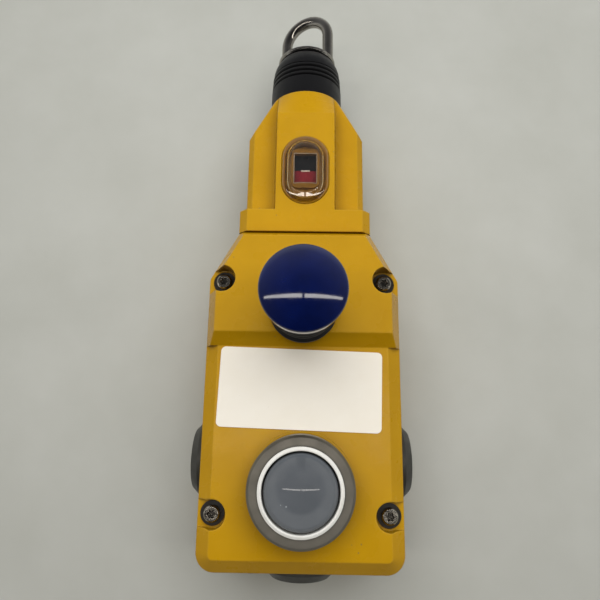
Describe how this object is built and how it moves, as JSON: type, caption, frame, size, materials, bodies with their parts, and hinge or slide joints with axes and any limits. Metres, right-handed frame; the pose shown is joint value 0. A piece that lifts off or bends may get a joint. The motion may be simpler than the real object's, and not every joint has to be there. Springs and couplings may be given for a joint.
{
  "type": "rope pull switch",
  "caption": "Rope pull safety switch: yellow die-cast housing with a sprung pull shaft and eye, indicator window, blue reset knob, grey push button and conduit entries.",
  "frame": {"origin": "centre of the flat rear mounting face, which is also the centre of its four tapped holes", "axes": "+Z out of the lid, away from the mounting face; +Y along the pull shaft towards the rope eye; +X to the right, seen from above the lid with the eye at the top"},
  "size_m": [0.1006, 0.2977, 0.105],
  "materials": {
    "yellow_casting": "die-cast and powder-coated yellow, satin",
    "black_rubber": "moulded, matt",
    "polished_stainless": "polished",
    "stainless_steel": "turned",
    "zinc_plated_steel": "zinc-plated",
    "spring_steel": "drawn wire",
    "nickel_brass": "nickel-plated",
    "clear_window": "clear moulded polycarbonate",
    "blue_plastic": "glossy",
    "grey_plastic": "satin",
    "satin_metal": "satin anodised",
    "polished_metal": "polished",
    "dark_plastic": "moulded",
    "bearing_plastic": "moulded acetal",
    "white_label": "plain, satin",
    "flag_black": "moulded",
    "flag_red": "moulded",
    "flag_green": "moulded"
  },
  "bodies": {
    "housing": {"housing_base": "yellow_casting", "lid": "yellow_casting", "shaft_boot": "black_rubber", "knob_bellows": "black_rubber", "lid_gasket": "black_rubber", "window_gasket": "black_rubber", "button_seal": "black_rubber", "plug_seals": "black_rubber", "lid_screws": "stainless_steel", "guide_bracket": "zinc_plated_steel", "bracket_screws": "zinc_plated_steel", "block_screws": "zinc_plated_steel", "earth_washer": "zinc_plated_steel", "tension_spring": "spring_steel", "knob_spring": "spring_steel", "button_spring": "spring_steel", "terminal_screws": "nickel_brass", "earth_screw": "nickel_brass", "knob_guide_nut": "nickel_brass", "window_lens": "clear_window", "button_bezel": "satin_metal", "button_ring": "polished_metal", "conduit_plug_left": "dark_plastic", "conduit_plug_right": "dark_plastic", "conduit_plug_end": "dark_plastic", "contact_block_left": "dark_plastic", "contact_block_right": "dark_plastic", "contact_block_button": "dark_plastic", "button_body": "dark_plastic", "button_locknut": "dark_plastic", "lid_screw_washers": "dark_plastic", "indicator_frame": "dark_plastic", "front_bush": "bearing_plastic", "rear_bush": "bearing_plastic", "knob_guide": "bearing_plastic", "rating_label": "white_label"},
    "shaft": {"pull_shaft": "stainless_steel", "shaft_pins": "stainless_steel", "spring_collar": "zinc_plated_steel", "cam_block": "bearing_plastic", "latch_block": "bearing_plastic", "eye_nut": "stainless_steel", "flag_carrier": "bearing_plastic", "flag_tile_black": "flag_black", "flag_tile_red": "flag_red", "flag_tile_green": "flag_green"},
    "eye": {"rope_eye": "polished_stainless"},
    "knob": {"reset_knob": "blue_plastic", "knob_stem": "nickel_brass", "stem_clip": "zinc_plated_steel"},
    "button": {"button_cap": "grey_plastic", "button_plunger": "bearing_plastic"},
    "plunger_left": {"contact_plunger_left": "bearing_plastic"},
    "plunger_right": {"contact_plunger_right": "bearing_plastic"}
  },
  "joints": [
    {"name": "shaft_pull", "type": "slide", "parent": "housing", "child": "shaft", "axis": [0, 1, 0], "range_m": [0, 0.012], "stiffness_N_per_m": 8000, "springref_m": -0.002, "deforming": ["tension_spring", "shaft_boot"]},
    {"name": "eye_swivel", "type": "hinge", "parent": "shaft", "child": "eye", "pos_m": [0, 0.18305, 0.028], "axis": [0, 1, 0], "continuous": true},
    {"name": "knob_press", "type": "slide", "parent": "housing", "child": "knob", "axis": [0, 0, -1], "range_m": [0, 0.006], "stiffness_N_per_m": 700, "springref_m": -0.004, "deforming": ["knob_spring", "knob_bellows"]},
    {"name": "button_press", "type": "slide", "parent": "housing", "child": "button", "axis": [0, 0, -1], "range_m": [0, 0.0035], "stiffness_N_per_m": 900, "springref_m": -0.002, "deforming": ["button_spring"]},
    {"name": "contact_left", "type": "slide", "parent": "housing", "child": "plunger_left", "axis": [1, 0, 0], "range_m": [0, 0.003]},
    {"name": "contact_right", "type": "slide", "parent": "housing", "child": "plunger_right", "axis": [1, 0, 0], "range_m": [0, 0.003]}
  ],
  "couplings": [
    {"joint": "contact_left", "follows": "shaft_pull", "ratio": 0.25},
    {"joint": "contact_right", "follows": "shaft_pull", "ratio": 0.25}
  ]
}
